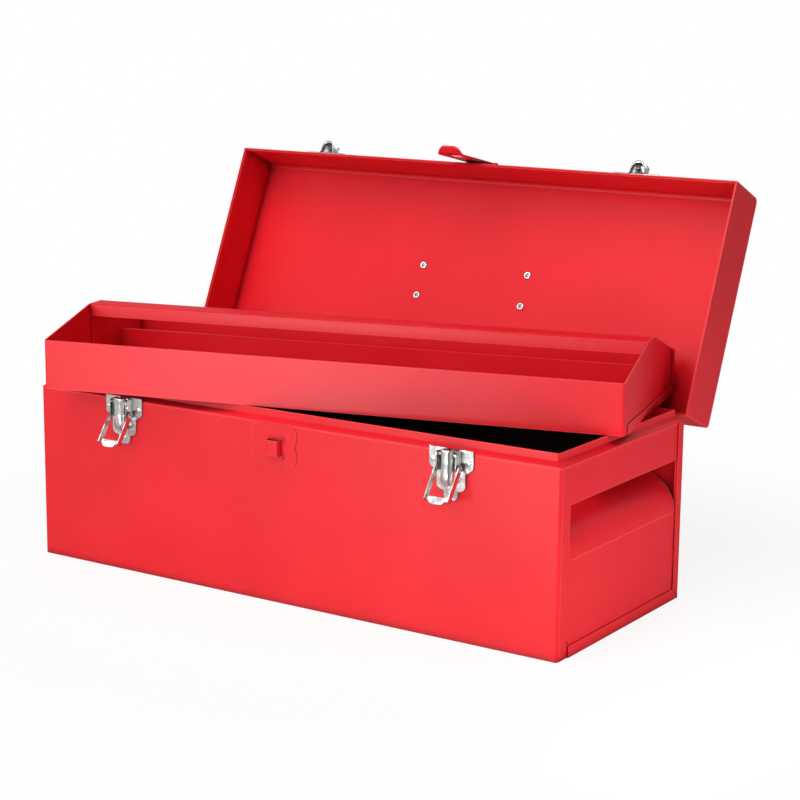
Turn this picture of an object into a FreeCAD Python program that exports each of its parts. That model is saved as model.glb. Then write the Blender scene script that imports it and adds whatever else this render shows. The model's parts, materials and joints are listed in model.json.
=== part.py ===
"""Sheet-steel hand tool box with a lift-out tray, shown with its lid open and the tray lying askew on the rim.

Millimetres, +Z up. The origin is the middle of the box's underside, +X along the length, -Y the front.
Lid pieces are built shut and then turned open about the hinge; tray pieces are built square and then
turned and set down on the rim. Latch pieces use the offset in front of the front face and the height.
"""
import FreeCAD, Part
import math
import os

V = FreeCAD.Vector

# Driving sizes of the box
BODY_LENGTH = 508.0
BODY_DEPTH = 199.0
SHOULDER_HEIGHT = 148.0
RIM_HEIGHT = 8.6
RIM_INSET = 5.0
LEDGE_RISE = 2.8
SHOULDER_DROP = 0.6
SHOULDER_ROUND = 0.4
SHEET = 1.0
CORNER_RADIUS = 2.6
OVERRUN = 6.0
SEAT_GAP = 0.1

# Seams, hand recesses and tray ledges of the ends
FLANGE_START = 15.0
FLOOR_FLANGE = 9.0
BACK_FLANGE = 9.0
FRONT_LIP = 10.0
RELIEF_WIDTH = 1.2
RELIEF_HEIGHT = 4.5
SILL_DROP = 73.5
WINDOW_TOP_DROP = 31.0
WINDOW_FRONT = 14.5
WINDOW_BACK = 9.6
WINDOW_SIDE_GAP = 0.6
SCOOP_RADIUS = 30.0
SCOOP_DEPTH = 33.0
SCOOP_TURN_DEG = 80.0
SCOOP_BEND = 4.0
LEDGE_DROP = 24.0
LEDGE_WIDTH = 8.0
LEDGE_BEND = 2.5

# Padlock staple and its pressed seat on the front
STAPLE_X = -4.0
STAPLE_DROP = 19.9
STAPLE_WIDTH = 14.0
STAPLE_HEIGHT = 12.4
STAPLE_REACH = 6.2
STAPLE_SLOPE = 1.4
STAPLE_BEND = 2.2
SEAT_X = -5.0
SEAT_DROP = 18.0
SEAT_WIDTH = 44.0
SEAT_HEIGHT = 32.0
SEAT_RAISE = 0.6
SEAT_CORNER = 6.0
SEAT_NOTCH = 2.6
SEAT_NOTCH_HALF = 5.0
SEAT_NOTCH_BEND = 1.6

# Lid
LID_GAP = 0.6
LID_HEIGHT = 47.0
LID_BEND = 4.6
HEM_HEIGHT = 6.0
HEM_START = 0.8
OPEN_DEG = 113.5

# Continuous hinge at the back
HINGE_END_GAP = 14.0
HINGE_DROP = 0.5
HINGE_OFFSET = 3.5
KNUCKLE_RADIUS = 3.2
KNUCKLE_COUNT = 7
KNUCKLE_GAP = 0.3
LEAF_WIDTH = 14.0
LEAF_SHEET = 1.0
HINGE_PIN_RADIUS = 1.5
HINGE_PIN_END = 1.0
PIN_CLEARANCE = 0.05

# Carrying handle on the lid
BRACKET_X = 54.5
BRACKET_WIDTH = 8.4
BRACKET_SHEET = 1.5
BRACKET_FOOT = 20.0
ARCH_CLEARANCE = 0.3
ARCH_SLOPE = 1.8
ARCH_BEND = 1.4
WIRE_RADIUS = 3.0
WIRE_CLEARANCE = 0.3
LEG_GAP = 0.5
LEG_LENGTH = 42.0
WIRE_END = 3.0
WIRE_FOOT_BEND = 2.0
WIRE_BEND = 8.0
GRIP_RADIUS = 6.5
GRIP_END_GAP = 6.0
GRIP_CLEARANCE = 0.25

# Draw latches
LATCH_INSET = 93.5
PLATE_SHEET = 1.2
PLATE_RISE = 1.8
PLATE_HEIGHT = 40.0
PLATE_HALF = 19.5
PLATE_LOBE = 14.5
PLATE_WAIST_HALF = 12.7
PLATE_WAIST = 31.0
PLATE_TONGUE_HALF = 6.2
PLATE_ROUND = 4.2
CHEEK_X = 8.0
CHEEK_SHEET = 1.0
CHEEK_HALF = 3.4
LEVER_PIN_OFFSET = 5.5
LEVER_PIN_DROP = 2.0
BAIL_PIN_OFFSET = 5.0
BAIL_PIN_DROP = 11.5
LATCH_PIN_RADIUS = 1.2
LATCH_PIN_END = 0.8
LEVER_HALF = 5.9
LEVER_SHEET = 1.0
LEVER_FACE = 10.0
LEVER_TOP_RISE = 4.0
LEVER_HEEL = 0.6
LEVER_LENGTH = 28.4
LEVER_BEND = 2.4
LEVER_TIP_DEPTH = 4.0
BAIL_GAP = 0.6
BAIL_SHEET = 1.2
BAIL_ARM_HALF = 2.3
BAIL_BAR_INNER = 24.6
BAIL_BAR = 3.4
BAIL_TIP = 31.0
BAIL_TAB_HALF = 7.0
BAIL_TAB_ROUND = 4.5
BAIL_HANG_DEG = 34.0

# Strikes on the lid
STRIKE_LIFT = 2.9
STRIKE_HALF = 21.5
STRIKE_HEIGHT = 20.0
STRIKE_SHEET = 1.2
STRIKE_ROUND = 5.0
NOSE_HALF = 7.3
NOSE_REACH = 12.8
NOSE_TOP = 12.3
NOSE_SEAT = 9.8
NOSE_LIP = 4.4
NOSE_BEND = 2.2
NOSE_WALL = 1.2

# Hasp on the lid
HASP_X = -4.5
HASP_HALF = 13.5
HASP_PIN_OFFSET = 6.1
HASP_PIN_RISE = 24.0
HASP_PIN_RADIUS = 1.2
HASP_KNUCKLE_RADIUS = 2.4
HASP_SHEET = 1.2
HASP_NEAR = -2.6
HASP_KNEE = 30.3
HASP_TIP_DROP = 35.4
HASP_TIP_REACH = 2.9
HASP_KNEE_BEND = 3.0
HASP_CORNER = 9.0
HASP_SLOT_CLEARANCE = 0.8
HASP_EAR_GAP = 0.3
HASP_EAR_SHEET = 1.2
HASP_EAR_HALF = 2.9
HASP_FOOT = 13.0

# Lift-out tray
TRAY_LENGTH = 489.0
TRAY_DEPTH = 179.6
TRAY_FRONT = 40.4
TRAY_BACK = 36.0
TRAY_PEAK = 59.2
TRAY_BEND = 2.0
TRAY_FLANGE_START = 10.0
TRAY_FLOOR_FLANGE = 7.0
TRAY_BACK_FLANGE = 8.5
BAR_START = 80.2
BAR_WIDTH = 22.4
BAR_LEG = 10.4
BAR_BEND = 1.6
DIVIDER_PLACE = 133.4
DIVIDER_HEIGHT = 29.6
DIVIDER_FOOT = 8.0
DIVIDER_END_GAP = 3.2
DIVIDER_HEM = 4.0
TRAY_TURN_DEG = 14.34
TRAY_CORNER_X = -213.1
TRAY_CORNER_Y = -138.4

# Worked out from the sizes above
HALF_LENGTH = BODY_LENGTH / 2
HALF_DEPTH = BODY_DEPTH / 2
LATCH_X = HALF_LENGTH - LATCH_INSET
RIM_START = SHOULDER_HEIGHT - SHOULDER_DROP - SHEET
RIM_TOP = SHOULDER_HEIGHT + RIM_HEIGHT
SILL_HEIGHT = SHOULDER_HEIGHT - SILL_DROP
WINDOW_TOP = SHOULDER_HEIGHT - WINDOW_TOP_DROP
LEDGE_HEIGHT = SHOULDER_HEIGHT - LEDGE_DROP
STAPLE_Z = SHOULDER_HEIGHT - STAPLE_DROP
SEAT_Z = SHOULDER_HEIGHT - SEAT_DROP
LID_BOTTOM = SHOULDER_HEIGHT + LID_GAP
LID_TOP = SHOULDER_HEIGHT + LID_HEIGHT
HINGE_LENGTH = BODY_LENGTH - 2 * HINGE_END_GAP
HINGE_Y = HALF_DEPTH + HINGE_OFFSET
HINGE_Z = SHOULDER_HEIGHT - HINGE_DROP
WIRE_Z = LID_TOP + WIRE_RADIUS + WIRE_CLEARANCE
LEG_X = BRACKET_X - BRACKET_WIDTH / 2 - WIRE_RADIUS - LEG_GAP
PLATE_TOP = SHOULDER_HEIGHT + PLATE_RISE
LEVER_PIN_Z = SHOULDER_HEIGHT - LEVER_PIN_DROP
BAIL_PIN_Z = SHOULDER_HEIGHT - BAIL_PIN_DROP
STRIKE_BOTTOM = SHOULDER_HEIGHT + STRIKE_LIFT
HASP_PIN_Z = SHOULDER_HEIGHT + HASP_PIN_RISE
TRAY_FLOOR_Z = RIM_TOP + SEAT_GAP
OUTWARD = V(0, -1, 0)


def box(x, y, z):
    """Block between pairs of limits along X, Y and Z."""
    size = [pair[1] - pair[0] for pair in (x, y, z)]
    return Part.makeBox(size[0], size[1], size[2], V(x[0], y[0], z[0]))


def rounded_edges(points, radii, closed=False):
    """Edges through flat 3-D points, each corner rounded by its radius (0 keeps it sharp)."""
    count = len(points)
    arrive, leave, arcs = list(points), list(points), [None] * count
    for i in range(count):
        if radii[i] <= 0 or (not closed and i in (0, count - 1)):
            continue
        corner = points[i]
        back = (points[i - 1] - corner).normalize()
        ahead = (points[(i + 1) % count] - corner).normalize()
        half = back.getAngle(ahead) / 2
        run = radii[i] / math.tan(half)
        arrive[i] = corner + back * run
        leave[i] = corner + ahead * run
        middle = (back + ahead).normalize()
        centre = corner + middle * (radii[i] / math.sin(half))
        arcs[i] = Part.Arc(arrive[i], centre - middle * radii[i], leave[i]).toShape()
    edges = []
    for i in range(count if closed else count - 1):
        after = (i + 1) % count
        if arcs[i] is not None:
            edges.append(arcs[i])
        if leave[i].distanceToPoint(arrive[after]) > SEAT_GAP / 1000:
            edges.append(Part.makeLine(leave[i], arrive[after]))
    return edges


def outline_face(points, radii):
    """Flat face inside a closed outline with rounded corners."""
    return Part.Face(Part.Wire(rounded_edges(points, radii, True)))


def turn_sign(before, here, after):
    """Positive where a flat path turns left."""
    return ((here[0] - before[0]) * (after[1] - here[1])
            - (here[1] - before[1]) * (after[0] - here[0]))


def offset_path(path, distance):
    """The path moved to its left by a distance, corners kept on the bisectors."""
    moved = []
    for i, point in enumerate(path):
        normals = []
        for start, end in ((i - 1, i), (i, i + 1)):
            if start >= 0 and end < len(path):
                run = (path[end][0] - path[start][0], path[end][1] - path[start][1])
                length = math.hypot(*run)
                normals.append((-run[1] / length, run[0] / length))
        first, last = normals[0], normals[-1]
        scale = distance / (1 + first[0] * last[0] + first[1] * last[1])
        moved.append((point[0] + (first[0] + last[0]) * scale, point[1] + (first[1] + last[1]) * scale))
    return moved


def bent_sheet(path, radii, thickness, to_space, run):
    """Sheet bent along a flat path, thickened to the left of the path and drawn out along a vector.

    Each radius is the one on the path itself, and the other side gets the concentric one.
    """
    other = offset_path(path, thickness)
    inner = []
    for i, radius in enumerate(radii):
        if radius <= 0 or i in (0, len(path) - 1):
            inner.append(0)
        else:
            left = turn_sign(path[i - 1], path[i], path[i + 1]) > 0
            inner.append(max(radius - thickness, 0) if left else radius + thickness)
    first = rounded_edges([to_space(*p) for p in path], radii)
    second = rounded_edges([to_space(*p) for p in other], inner)
    ends = [Part.makeLine(to_space(*path[0]), to_space(*other[0])),
            Part.makeLine(to_space(*path[-1]), to_space(*other[-1]))]
    wire = Part.Wire(Part.__sortEdges__(first + second + ends))
    return Part.Face(wire).extrude(run)


def across(radius, x, y, z):
    """Round bar along X between two X limits."""
    return Part.makeCylinder(radius, x[1] - x[0], V(x[0], y, z), V(1, 0, 0))


def fused(shapes):
    """One solid made of the given ones."""
    result = shapes[0].multiFuse(shapes[1:])
    return result.removeSplitter()


def front_space(centre):
    """Map (offset in front of the front face, height) to space at an X place."""
    return lambda offset, height: V(centre, -HALF_DEPTH - offset, height)


def face_space(offset, centre=0):
    """Map (x from a centre, height) to a plane at an offset in front of the front face."""
    return lambda x, height: V(centre + x, -HALF_DEPTH - offset, height)


def mirrored(shape):
    """The same shape on the other side of the middle plane."""
    return shape.mirror(V(0, 0, 0), V(1, 0, 0))


def opened(shape):
    """A lid piece turned from shut to open about the hinge."""
    turned = shape.copy()
    turned.rotate(V(0, HINGE_Y, HINGE_Z), V(1, 0, 0), -OPEN_DEG)
    return turned


def on_rim(shape):
    """A tray piece turned askew and set down on the rim."""
    placed = shape.copy()
    placed.rotate(V(0, 0, 0), V(0, 0, 1), TRAY_TURN_DEG)
    placed.translate(V(TRAY_CORNER_X, TRAY_CORNER_Y, TRAY_FLOOR_Z))
    return placed


# Body of the box
def plan_wire(inset, radius, height):
    """Outline of the box from above with rounded front corners."""
    x, y = HALF_LENGTH - inset, HALF_DEPTH - inset
    corners = [V(-x, y, height), V(-x, -y, height), V(x, -y, height), V(x, y, height)]
    return Part.Wire(rounded_edges(corners, [0, radius, radius, 0], True))


def stepped_block(inset, radius, bottom, drop, top):
    """Block with the box's outline that steps in at the shoulder to the rim."""
    return Part.makeLoft([plan_wire(inset, radius, bottom),
                          plan_wire(inset, radius, SHOULDER_HEIGHT - SHOULDER_DROP - drop),
                          plan_wire(inset + SHOULDER_ROUND, radius, SHOULDER_HEIGHT - drop),
                          plan_wire(inset + RIM_INSET, radius, SHOULDER_HEIGHT + LEDGE_RISE - drop),
                          plan_wire(inset + RIM_INSET, radius, top)], True, True)


def four_walls():
    """All four walls with the shoulder and rim, one sheet thick."""
    outer = stepped_block(0, CORNER_RADIUS, 0, 0, RIM_TOP)
    inner = stepped_block(SHEET, CORNER_RADIUS - SHEET, -OVERRUN, SHEET, RIM_TOP + OVERRUN)
    return outer.cut(inner)


def back_zone():
    """Space that holds the back wall and its rim."""
    wide = (-HALF_LENGTH - OVERRUN, HALF_LENGTH + OVERRUN)
    wall = box(wide, (HALF_DEPTH - SHEET, HALF_DEPTH + OVERRUN), (-OVERRUN, RIM_TOP + OVERRUN))
    inner = (-HALF_LENGTH + SHEET, HALF_LENGTH - SHEET)
    rim = box(inner, (HALF_DEPTH - RIM_INSET - SHEET, HALF_DEPTH + OVERRUN),
              (SHOULDER_HEIGHT - SHEET, RIM_TOP + OVERRUN))
    return wall.fuse(rim)


def end_scoop():
    """Sheet of the right hand recess: it stands on the sill, curves inward and ends in a tray ledge."""
    turn = math.radians(SCOOP_TURN_DEG)
    bend_height = SILL_HEIGHT + SCOOP_RADIUS * math.tan(turn / 2)
    inner_height = bend_height + SCOOP_DEPTH / math.tan(turn)
    path = [(HALF_LENGTH, SILL_HEIGHT), (HALF_LENGTH, bend_height),
            (HALF_LENGTH - SCOOP_DEPTH, inner_height), (HALF_LENGTH - SCOOP_DEPTH, LEDGE_HEIGHT),
            (HALF_LENGTH - SCOOP_DEPTH - LEDGE_WIDTH, LEDGE_HEIGHT)]
    radii = [0, SCOOP_RADIUS, SCOOP_BEND, LEDGE_BEND, 0]
    front = -HALF_DEPTH + WINDOW_FRONT + WINDOW_SIDE_GAP
    back = HALF_DEPTH - WINDOW_BACK - WINDOW_SIDE_GAP
    return bent_sheet(path, radii, SHEET, lambda x, z: V(x, front, z), V(0, back - front, 0))


def seat_outline(inset, plane):
    """Pressed seat round the staple, notched at the middle of both sides."""
    x, z = SEAT_WIDTH / 2 - inset, SEAT_HEIGHT / 2 - inset
    notch = x - SEAT_NOTCH
    half = [(x, z), (x, SEAT_NOTCH_HALF), (notch, 0), (x, -SEAT_NOTCH_HALF), (x, -z)]
    bends = [SEAT_CORNER, SEAT_NOTCH_BEND, SEAT_NOTCH_BEND, SEAT_NOTCH_BEND, SEAT_CORNER]
    points = half + [(-px, pz) for px, pz in reversed(half)]
    return outline_face([plane(px, SEAT_Z + pz) for px, pz in points], bends + bends)


def padlock_staple():
    """Bridge let through two slits in the pressed seat, for a padlock."""
    half = STAPLE_WIDTH / 2
    path = [(half, -SHEET), (half - STAPLE_SLOPE, STAPLE_REACH),
            (-half + STAPLE_SLOPE, STAPLE_REACH), (-half, -SHEET)]
    low = STAPLE_Z - STAPLE_HEIGHT / 2
    bridge = bent_sheet(path, [0, STAPLE_BEND, STAPLE_BEND, 0], SHEET,
                        lambda x, offset: V(STAPLE_X + x, -HALF_DEPTH - offset, low), V(0, 0, STAPLE_HEIGHT))
    inside = box((-HALF_LENGTH, HALF_LENGTH), (-HALF_DEPTH + SHEET, HALF_DEPTH), (0, RIM_TOP))
    return bridge.cut(inside)


def folded_front():
    """One sheet folded round the front corners: front, both ends with their windows, and three rims."""
    sheet = four_walls().cut(back_zone())
    seat = seat_outline(0, face_space(0, SEAT_X)).extrude(OUTWARD * SEAT_RAISE)
    hollow = seat_outline(SHEET, face_space(-SHEET - OVERRUN, SEAT_X)).extrude(
        OUTWARD * (OVERRUN + SEAT_RAISE))
    sheet = sheet.fuse(seat).cut(hollow)
    cuts = [padlock_staple()]
    out = (HALF_LENGTH - SHEET - OVERRUN, HALF_LENGTH + OVERRUN)
    flange_y = -HALF_DEPTH + FLANGE_START
    window = box(out, (-HALF_DEPTH + WINDOW_FRONT, HALF_DEPTH - WINDOW_BACK), (SILL_HEIGHT, WINDOW_TOP))
    under = box(out, (flange_y, HALF_DEPTH + OVERRUN), (-OVERRUN, SHEET))
    relief = box((HALF_LENGTH - SHEET / 2, HALF_LENGTH + OVERRUN), (flange_y - RELIEF_WIDTH, flange_y),
                 (FLOOR_FLANGE, FLOOR_FLANGE + RELIEF_HEIGHT))
    for cut in (window, under, relief):
        cuts += [cut, mirrored(cut)]
    return sheet.cut(Part.makeCompound(cuts)).removeSplitter()


def front_sheet():
    """The folded sheet by its named stretches: front with both bends, right and left end, and rim."""
    sheet = folded_front()
    outside = HALF_LENGTH + OVERRUN
    bend = -HALF_DEPTH + CORNER_RADIUS
    below = (-OVERRUN, RIM_START)
    front = box((-outside, outside), (-HALF_DEPTH - OVERRUN, bend), below)
    end = box((HALF_LENGTH - SHEET, outside), (bend, HALF_DEPTH), below)
    rim = box((-outside, outside), (-HALF_DEPTH, HALF_DEPTH), (RIM_START, RIM_TOP + OVERRUN))
    return [sheet.common(stretch) for stretch in (front, end, mirrored(end), rim)]


def floor_and_back():
    """One sheet folded at the back: floor with its front lip, back wall and rim."""
    back = four_walls().common(back_zone())
    start = -HALF_DEPTH + FLANGE_START
    wide, inner = HALF_LENGTH + SHEET, HALF_LENGTH - SHEET
    floor = Part.Face(plan_wire(SHEET, CORNER_RADIUS - SHEET, 0)).extrude(V(0, 0, SHEET))
    wings = box((-wide, wide), (start, HALF_DEPTH), (0, SHEET))
    straight = inner - CORNER_RADIUS
    lip = box((-straight, straight), (-HALF_DEPTH + SHEET, -HALF_DEPTH + 2 * SHEET), (0, FRONT_LIP))
    return fused([back, floor, wings, lip])


def end_seam():
    """Flanges of the floor and the back turned over the right end."""
    side = (HALF_LENGTH, HALF_LENGTH + SHEET)
    upright = box(side, (HALF_DEPTH - BACK_FLANGE, HALF_DEPTH), (SHEET, SHOULDER_HEIGHT - SHEET))
    turned_up = box(side, (-HALF_DEPTH + FLANGE_START, HALF_DEPTH), (SHEET, FLOOR_FLANGE))
    return fused([upright, turned_up])


# Hinge
def knuckle_spans(parity):
    """X limits of every other knuckle."""
    pitch = HINGE_LENGTH / KNUCKLE_COUNT
    spans = []
    for i in range(parity, KNUCKLE_COUNT, 2):
        start = -HINGE_LENGTH / 2 + i * pitch
        spans.append((start + KNUCKLE_GAP / 2, start + pitch - KNUCKLE_GAP / 2))
    return spans


def hinge_leaf(parity, upward):
    """Leaf with its rolled knuckles, notched clear of the other leaf's knuckles."""
    heights = (HINGE_Z, HINGE_Z + LEAF_WIDTH) if upward else (HINGE_Z - LEAF_WIDTH, HINGE_Z)
    leaf = box((-HINGE_LENGTH / 2, HINGE_LENGTH / 2), (HALF_DEPTH, HALF_DEPTH + LEAF_SHEET), heights)
    clear = KNUCKLE_RADIUS + KNUCKLE_GAP
    notches = [across(clear, (low - KNUCKLE_GAP, high + KNUCKLE_GAP), HINGE_Y, HINGE_Z)
               for low, high in knuckle_spans(1 - parity)]
    rolls = [across(KNUCKLE_RADIUS, span, HINGE_Y, HINGE_Z) for span in knuckle_spans(parity)]
    leaf = leaf.cut(Part.makeCompound(notches)).multiFuse(rolls)
    reach = HINGE_LENGTH / 2 + OVERRUN
    bore = across(HINGE_PIN_RADIUS + PIN_CLEARANCE, (-reach, reach), HINGE_Y, HINGE_Z)
    return leaf.cut(bore).removeSplitter()


def hinge_pin():
    """Pin through all the knuckles."""
    reach = HINGE_LENGTH / 2 + HINGE_PIN_END
    return across(HINGE_PIN_RADIUS, (-reach, reach), HINGE_Y, HINGE_Z)


# Lid
def lid_wrap():
    """Front, top and back of the lid in one sheet, hemmed along the two long edges."""
    path = [(HALF_DEPTH, LID_BOTTOM), (HALF_DEPTH, LID_TOP), (-HALF_DEPTH, LID_TOP), (-HALF_DEPTH, LID_BOTTOM)]
    wrap = bent_sheet(path, [0, LID_BEND, LID_BEND, 0], SHEET,
                      lambda y, z: V(-HALF_LENGTH, y, z), V(BODY_LENGTH, 0, 0))
    inner = HALF_LENGTH - SHEET
    hems = [box((-inner, inner), sorted((side * (HALF_DEPTH - 2 * SHEET), side * (HALF_DEPTH - SHEET))),
                (LID_BOTTOM + HEM_START, LID_BOTTOM + HEM_HEIGHT)) for side in (-1, 1)]
    return fused([wrap] + hems)


def lid_end(side):
    """End plate set inside the wrap, hemmed along its lower edge."""
    y, top = HALF_DEPTH - SHEET, LID_TOP - SHEET
    radius = LID_BEND - SHEET
    x = side * (HALF_LENGTH - SHEET)
    corners = [V(x, -y, LID_BOTTOM), V(x, -y, top), V(x, y, top), V(x, y, LID_BOTTOM)]
    plate = outline_face(corners, [0, radius, radius, 0]).extrude(V(side * SHEET, 0, 0))
    hem = box(sorted((x - side * SHEET, x)), (-y + SHEET, y - SHEET),
              (LID_BOTTOM + HEM_START, LID_BOTTOM + HEM_HEIGHT))
    return fused([plate, hem])


# Carrying handle
def handle_bracket(side):
    """Strap that arches over the end of the handle wire."""
    inside = WIRE_RADIUS + ARCH_CLEARANCE
    rise = WIRE_CLEARANCE + WIRE_RADIUS + inside
    path = [(BRACKET_FOOT, 0), (inside + ARCH_SLOPE, 0), (inside, rise),
            (-inside, rise), (-inside - ARCH_SLOPE, 0), (-BRACKET_FOOT, 0)]
    path.reverse()
    low = side * BRACKET_X - BRACKET_WIDTH / 2
    return bent_sheet(path, [0] + [ARCH_BEND] * 4 + [0], BRACKET_SHEET,
                      lambda y, z: V(low, y, LID_TOP + z), V(BRACKET_WIDTH, 0, 0))


def hanging(shape):
    """The handle turned from flat on the lid, folded back, to where it hangs on the open lid."""
    turned = shape.copy()
    turned.rotate(V(0, 0, WIRE_Z), V(1, 0, 0), OPEN_DEG - 90)
    return turned


def cut_corners(points, cuts):
    """Path whose inner corners are each replaced by a short slanting run."""
    path = points[:1]
    for before, corner, after, cut in zip(points, points[1:], points[2:], cuts):
        path += [corner + (before - corner).normalize() * cut, corner + (after - corner).normalize() * cut]
    return path + points[-1:]


def handle_wire():
    """Round bar bent into a bail whose ends turn out under the brackets."""
    end = BRACKET_X + BRACKET_WIDTH / 2 + WIRE_END
    corners = [V(-end, 0, WIRE_Z), V(-LEG_X, 0, WIRE_Z), V(-LEG_X, LEG_LENGTH, WIRE_Z),
               V(LEG_X, LEG_LENGTH, WIRE_Z), V(LEG_X, 0, WIRE_Z), V(end, 0, WIRE_Z)]
    path = cut_corners(corners, [WIRE_FOOT_BEND, WIRE_BEND, WIRE_BEND, WIRE_FOOT_BEND])
    section = Part.Wire(Part.makeCircle(WIRE_RADIUS, corners[0], V(1, 0, 0)))
    return hanging(Part.Wire(Part.makePolygon(path)).makePipeShell([section], True, False, 1))


def handle_grip():
    """Tube round the middle of the handle."""
    reach = LEG_X - WIRE_RADIUS - GRIP_END_GAP
    grip = across(GRIP_RADIUS, (-reach, reach), LEG_LENGTH, WIRE_Z)
    bore = across(WIRE_RADIUS + GRIP_CLEARANCE, (-LEG_X, LEG_X), LEG_LENGTH, WIRE_Z)
    return hanging(grip.cut(bore))


# Draw latches
def latch_base(centre):
    """Lobed plate with two cheeks that carry the lever and the bail."""
    waist, foot = PLATE_TOP - PLATE_WAIST, PLATE_TOP - PLATE_HEIGHT
    lobe = PLATE_TOP - PLATE_LOBE
    half = [(PLATE_HALF, PLATE_TOP), (PLATE_HALF, lobe), (PLATE_WAIST_HALF, lobe - PLATE_ROUND),
            (PLATE_WAIST_HALF, waist), (PLATE_TONGUE_HALF, waist - PLATE_ROUND / 2), (PLATE_TONGUE_HALF, foot)]
    rounds = [0, PLATE_ROUND, 0, PLATE_ROUND, 0, PLATE_ROUND]
    plane = face_space(0, centre)
    points = [plane(x, z) for x, z in half] + [plane(-x, z) for x, z in reversed(half)]
    plate = outline_face(points, rounds + rounds[::-1]).extrude(OUTWARD * PLATE_SHEET)
    pieces = [plate]
    for side in (-1, 1):
        near = centre + side * CHEEK_X
        low, high = BAIL_PIN_Z - CHEEK_HALF, PLATE_TOP - PLATE_SHEET
        reach = LEVER_PIN_OFFSET + CHEEK_HALF
        corners = [(0, low), (reach, low), (reach, high), (0, high)]
        place = front_space(near)
        cheek = outline_face([place(o, z) for o, z in corners], [0, CHEEK_HALF, CHEEK_HALF, 0])
        pieces.append(cheek.extrude(V(side * CHEEK_SHEET, 0, 0)))
    return fused(pieces)


def latch_pins(centre):
    """Lever pin between the cheeks and a stub on each cheek's outer side for the bail."""
    near = CHEEK_X + CHEEK_SHEET
    far = near + BAIL_GAP + BAIL_SHEET + LATCH_PIN_END
    lever = across(LATCH_PIN_RADIUS, (centre - CHEEK_X, centre + CHEEK_X),
                   -HALF_DEPTH - LEVER_PIN_OFFSET, LEVER_PIN_Z)
    stubs = [across(LATCH_PIN_RADIUS, span, -HALF_DEPTH - BAIL_PIN_OFFSET, BAIL_PIN_Z)
             for span in ((centre - far, centre - near), (centre + near, centre + far))]
    return Part.makeCompound([lever] + stubs)


def latch_lever(centre):
    """Channel lever with a round nose, open towards the plate."""
    top = LEVER_PIN_Z + LEVER_TOP_RISE
    foot = top - LEVER_LENGTH
    half = LEVER_HALF
    path = [(half, PLATE_SHEET + SHEET), (half, LEVER_FACE), (-half, LEVER_FACE), (-half, PLATE_SHEET + SHEET)]
    place = lambda x, offset: V(centre + x, -HALF_DEPTH - offset, foot)
    lever = bent_sheet(path, [0, LEVER_BEND, LEVER_BEND, 0], LEVER_SHEET, place, V(0, 0, LEVER_LENGTH))
    front = outline_face([face_space(0, centre)(x, z) for x, z in
                          ((-half, foot), (half, foot), (half, top), (-half, top))],
                         [half - SEAT_GAP, half - SEAT_GAP, LEVER_BEND, LEVER_BEND])
    lever = lever.common(front.extrude(OUTWARD * (LEVER_FACE + OVERRUN)))
    side = [(LEVER_FACE + OVERRUN, foot - OVERRUN), (LEVER_FACE - LEVER_TIP_DEPTH, foot - OVERRUN),
            (LEVER_FACE - LEVER_TIP_DEPTH, foot + LEVER_BEND), (PLATE_SHEET + SHEET, BAIL_PIN_Z - CHEEK_HALF),
            (PLATE_SHEET + SHEET, LEVER_PIN_Z), (LEVER_PIN_OFFSET - LEVER_HEEL, top),
            (LEVER_FACE + OVERRUN, top)]
    shape = Part.Face(Part.makePolygon([front_space(centre - half)(o, z) for o, z in side + side[:1]]))
    lever = lever.common(shape.extrude(V(2 * half, 0, 0)))
    bore = across(LATCH_PIN_RADIUS + PIN_CLEARANCE, (centre - half, centre + half),
                  -HALF_DEPTH - LEVER_PIN_OFFSET, LEVER_PIN_Z)
    return lever.cut(bore)


def latch_bail(centre):
    """Two flat arms and a cross bar with a rounded thumb tab, hanging from the bail pin."""
    inner = CHEEK_X + CHEEK_SHEET + BAIL_GAP
    outer = inner + BAIL_SHEET
    end = BAIL_BAR_INNER + BAIL_BAR
    place = lambda x: (lambda across_, along: V(centre + x, -HALF_DEPTH - BAIL_PIN_OFFSET - across_,
                                                BAIL_PIN_Z - along))
    pieces = []
    for low in (inner, -outer):
        corners = [(-BAIL_ARM_HALF, -BAIL_ARM_HALF), (BAIL_ARM_HALF, -BAIL_ARM_HALF),
                   (BAIL_ARM_HALF, end), (-BAIL_ARM_HALF, end)]
        arm = outline_face([place(low)(a, b) for a, b in corners],
                           [BAIL_ARM_HALF - SEAT_GAP, BAIL_ARM_HALF - SEAT_GAP, 0, 0])
        pieces.append(arm.extrude(V(BAIL_SHEET, 0, 0)))
    flat = [(-outer, BAIL_BAR_INNER), (outer, BAIL_BAR_INNER), (outer, end), (BAIL_TAB_HALF, end),
            (BAIL_TAB_HALF - SHEET, BAIL_TIP), (-BAIL_TAB_HALF + SHEET, BAIL_TIP), (-BAIL_TAB_HALF, end),
            (-outer, end)]
    bends = [0, 0, 0, 0, BAIL_TAB_ROUND, BAIL_TAB_ROUND, 0, 0]
    front = -HALF_DEPTH - BAIL_PIN_OFFSET + BAIL_SHEET / 2
    bar = outline_face([V(centre + x, front, BAIL_PIN_Z - along) for x, along in flat], bends)
    pieces.append(bar.extrude(OUTWARD * BAIL_SHEET))
    bail = fused(pieces)
    bail = bail.cut(across(LATCH_PIN_RADIUS + PIN_CLEARANCE, (centre - outer, centre + outer),
                           -HALF_DEPTH - BAIL_PIN_OFFSET, BAIL_PIN_Z))
    bail.rotate(V(centre, -HALF_DEPTH - BAIL_PIN_OFFSET, BAIL_PIN_Z), V(1, 0, 0), -BAIL_HANG_DEG)
    return bail


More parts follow.
